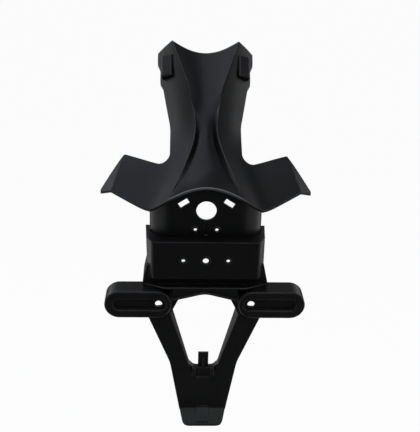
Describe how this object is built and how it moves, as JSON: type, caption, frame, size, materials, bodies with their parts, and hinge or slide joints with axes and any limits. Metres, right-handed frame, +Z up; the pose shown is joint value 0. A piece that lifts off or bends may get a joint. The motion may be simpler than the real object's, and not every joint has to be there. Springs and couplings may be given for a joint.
{
  "type": "motorcycle rear fender",
  "caption": "Moulded motorcycle rear fender with a fluted undertray, side wings, a tail-lamp wall, a plate-lamp housing and a Y-shaped carrier for the number plate.",
  "frame": {"origin": "centre of the tail-lamp hole on the rear face of the tail wall", "axes": "+Z up as fitted, -Y to the rear of the motorcycle, +X to the right seen from behind"},
  "size_m": [0.2684, 0.219, 0.4841],
  "materials": {
    "black_plastic": "semi-gloss moulded black with a fine grain",
    "zinc_steel": "zinc plated"
  },
  "bodies": {
    "root": {"fender_body": "black_plastic", "lamp_housing": "black_plastic", "plate_carrier": "black_plastic", "clamp_bolts": "zinc_steel", "clamp_nuts": "zinc_steel"}
  },
  "joints": []
}
